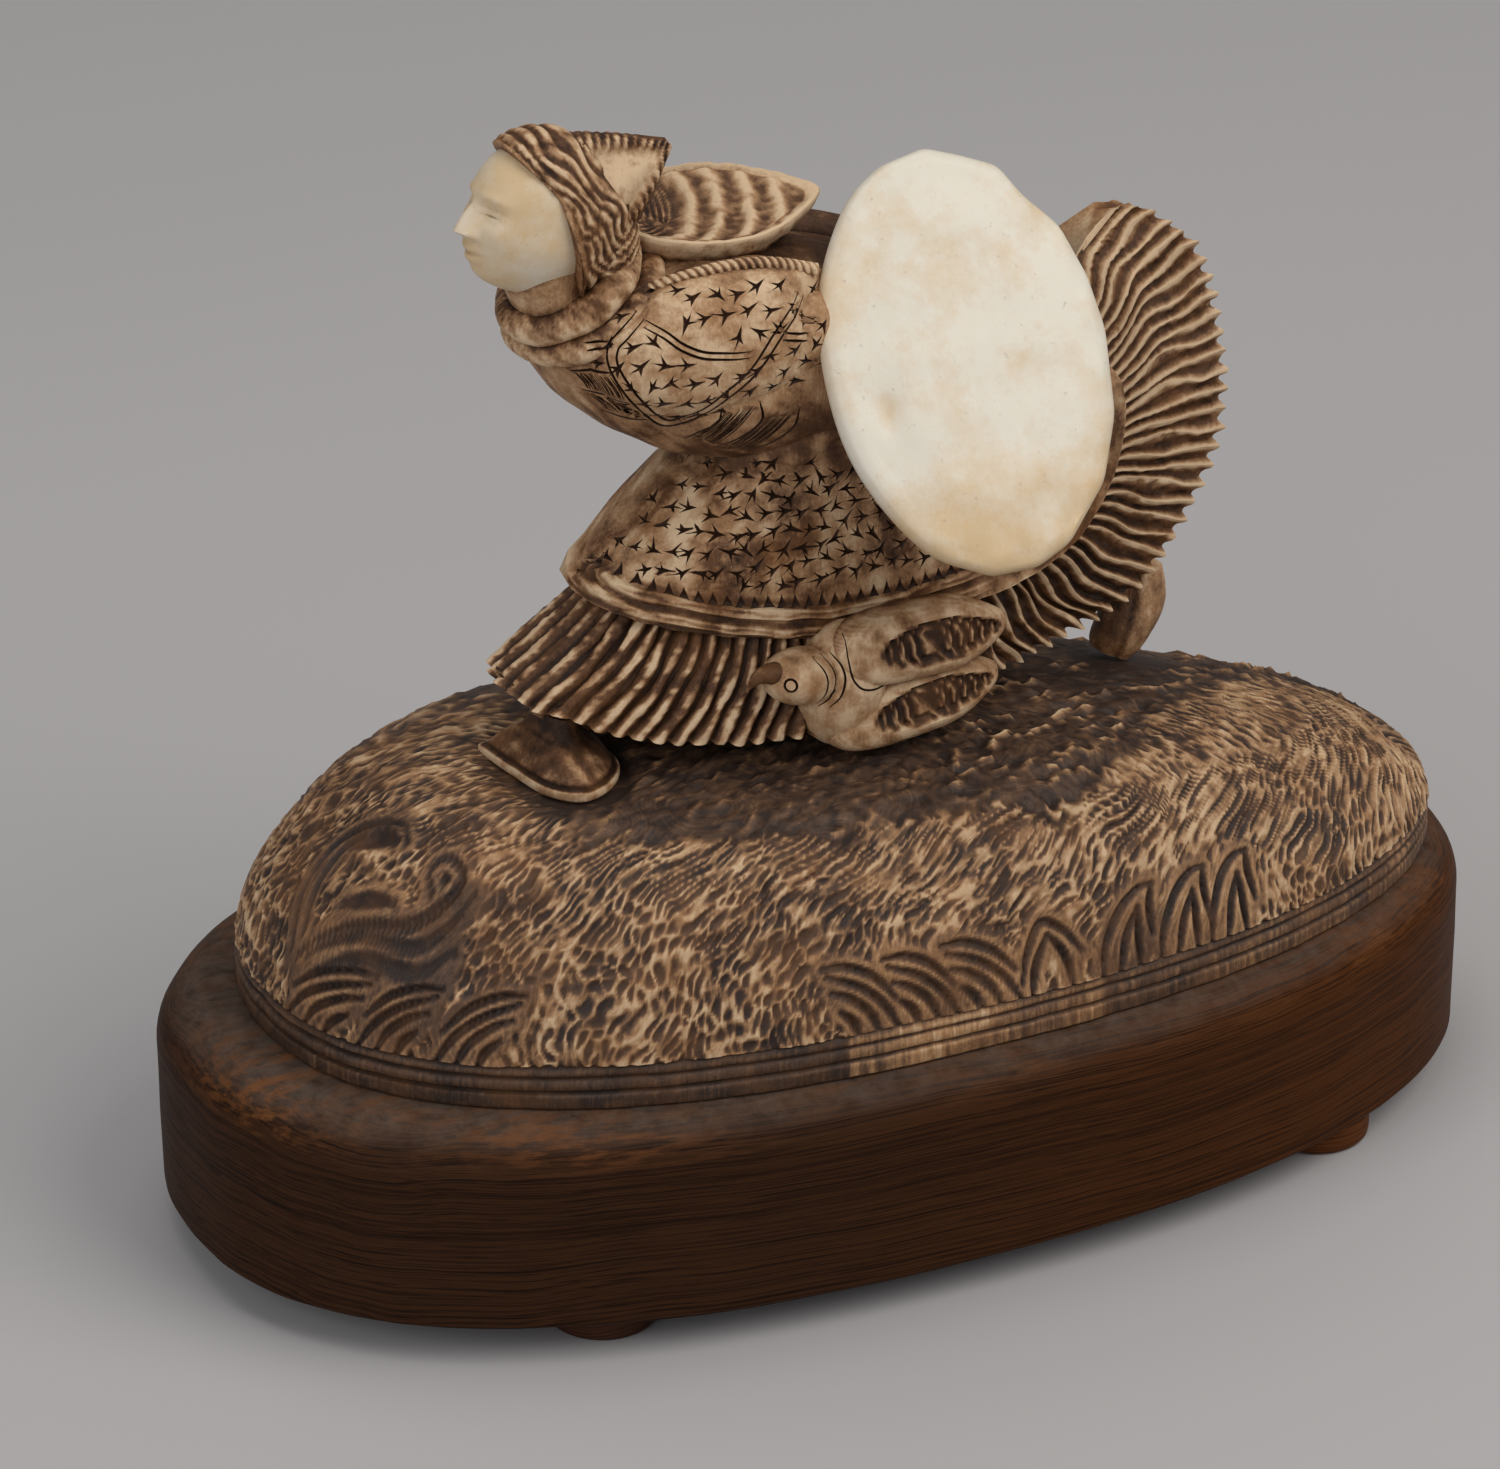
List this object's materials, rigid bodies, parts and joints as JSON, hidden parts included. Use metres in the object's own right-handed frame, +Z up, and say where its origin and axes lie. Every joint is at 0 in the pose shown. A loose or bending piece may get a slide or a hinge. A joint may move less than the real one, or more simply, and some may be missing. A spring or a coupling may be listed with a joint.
{
  "type": "carved shaman figure",
  "caption": "Desk carving of a dancing shaman with a tilted oval drum and a flared pleated robe, cut from one block and standing on a domed mound on an oval plinth.",
  "frame": {"origin": "on the ground under the middle of the plinth", "axes": "+X along the plinth towards the raised side of the robe, -X the way the dancer faces, -Y the carved front, +Z up"},
  "size_m": [0.2984, 0.169, 0.245],
  "materials": {
    "stained_wood": "dark brown stain, satin, fine level grain",
    "foot_wood": "reddish brown stain, satin",
    "stained_bone": "antler or bone, brown stain rubbed back on the ridges, stands in as a matte solid",
    "pale_bone": "antler or bone, ivory with a brown stain in the cuts, lightly polished, stands in as a matte solid"
  },
  "bodies": {
    "root": {"plinth": "stained_wood", "foot_left_front": "foot_wood", "foot_right_front": "foot_wood", "foot_left_back": "foot_wood", "foot_right_back": "foot_wood", "carved_mound": "stained_bone", "carved_figure": "pale_bone"}
  },
  "joints": []
}
